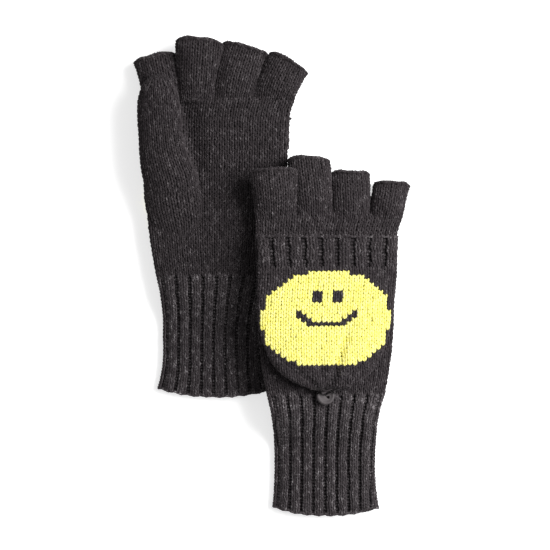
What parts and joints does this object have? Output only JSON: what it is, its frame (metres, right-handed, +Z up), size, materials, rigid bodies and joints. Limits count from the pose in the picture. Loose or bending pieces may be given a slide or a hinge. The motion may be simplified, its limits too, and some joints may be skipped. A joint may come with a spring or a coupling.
{
  "type": "convertible flip-top mittens",
  "caption": "Pair of knitted half-finger gloves with ribbed cuffs, closed thumbs and a mitten flap that folds over the fingers or back to button at the wrist.",
  "frame": {"origin": "on the table under the middle of the pair's bounding box", "axes": "+X across the hands from the left mitten to the right one, +Y from the cuffs to the fingers, +Z up from the table"},
  "size_m": [0.1856, 0.3234, 0.0362],
  "materials": {
    "charcoal_knit": "heathered wool stocking stitch, matt",
    "charcoal_rib": "heathered wool 2 by 2 rib, matt",
    "flap_knit": "stocking stitch with a lemon yellow worked-in oval on charcoal",
    "horn_button": "satin moulded, dark charcoal",
    "dark_yarn": "plied wool yarn"
  },
  "bodies": {
    "left_glove": {"left_cuff": "charcoal_rib", "left_hand": "charcoal_knit", "left_knuckles": "charcoal_knit", "left_index_finger": "charcoal_knit", "left_middle_finger": "charcoal_knit", "left_ring_finger": "charcoal_knit", "left_little_finger": "charcoal_knit", "left_thumb_gusset": "charcoal_knit", "left_flap_seam": "charcoal_knit", "left_button": "horn_button", "left_button_thread": "dark_yarn"},
    "left_flap": {"left_flap": "flap_knit", "left_flap_band": "charcoal_rib"},
    "left_thumb": {"left_thumb": "charcoal_knit"},
    "left_loop": {"left_button_loop": "dark_yarn"},
    "right_glove": {"right_cuff": "charcoal_rib", "right_hand": "charcoal_knit", "right_knuckles": "charcoal_knit", "right_index_finger": "charcoal_knit", "right_middle_finger": "charcoal_knit", "right_ring_finger": "charcoal_knit", "right_little_finger": "charcoal_knit", "right_thumb_gusset": "charcoal_knit", "right_flap_seam": "charcoal_knit", "right_button": "horn_button", "right_button_thread": "dark_yarn"},
    "right_flap": {"right_flap": "flap_knit", "right_flap_band": "charcoal_rib"},
    "right_thumb": {"right_thumb": "charcoal_knit"},
    "right_loop": {"right_button_loop": "dark_yarn"}
  },
  "joints": [
    {"name": "right_mitten_lift", "type": "slide", "parent": "left_glove", "child": "right_glove", "axis": [0, 0, 1], "range_m": [0, 0.15]},
    {"name": "left_flap_fold", "type": "hinge", "parent": "left_glove", "child": "left_flap", "pos_m": [-0.03673, 0.10597, 0.00715], "axis": [1, 0, 0], "range_deg": [0, 180], "deforming": ["left_knuckles", "left_index_finger", "left_middle_finger", "left_ring_finger", "left_little_finger"]},
    {"name": "left_loop_lift", "type": "hinge", "parent": "left_flap", "child": "left_loop", "pos_m": [-0.03673, 0.00532, 0.00675], "axis": [1, 0, 0], "range_deg": [0, 85]},
    {"name": "left_thumb_swing", "type": "hinge", "parent": "left_glove", "child": "left_thumb", "pos_m": [-0.06773, 0.05997, 0.0249], "axis": [0.9925, 0.1219, 0], "range_deg": [0, 60]},
    {"name": "right_flap_fold", "type": "hinge", "parent": "right_glove", "child": "right_flap", "pos_m": [0.03823, 0.02577, 0.02106], "axis": [-0.9754, 0, 0.2204], "range_deg": [0, 180], "deforming": ["right_knuckles", "right_index_finger", "right_middle_finger", "right_ring_finger", "right_little_finger"]},
    {"name": "right_loop_lift", "type": "hinge", "parent": "right_flap", "child": "right_loop", "pos_m": [0.03832, -0.07488, 0.02145], "axis": [-0.9754, 0, 0.2204], "range_deg": [0, 85]},
    {"name": "right_thumb_swing", "type": "hinge", "parent": "right_glove", "child": "right_thumb", "pos_m": [0.01339, -0.02023, 0.00847], "axis": [-0.8691, 0.454, 0.1964], "range_deg": [0, 60]}
  ]
}
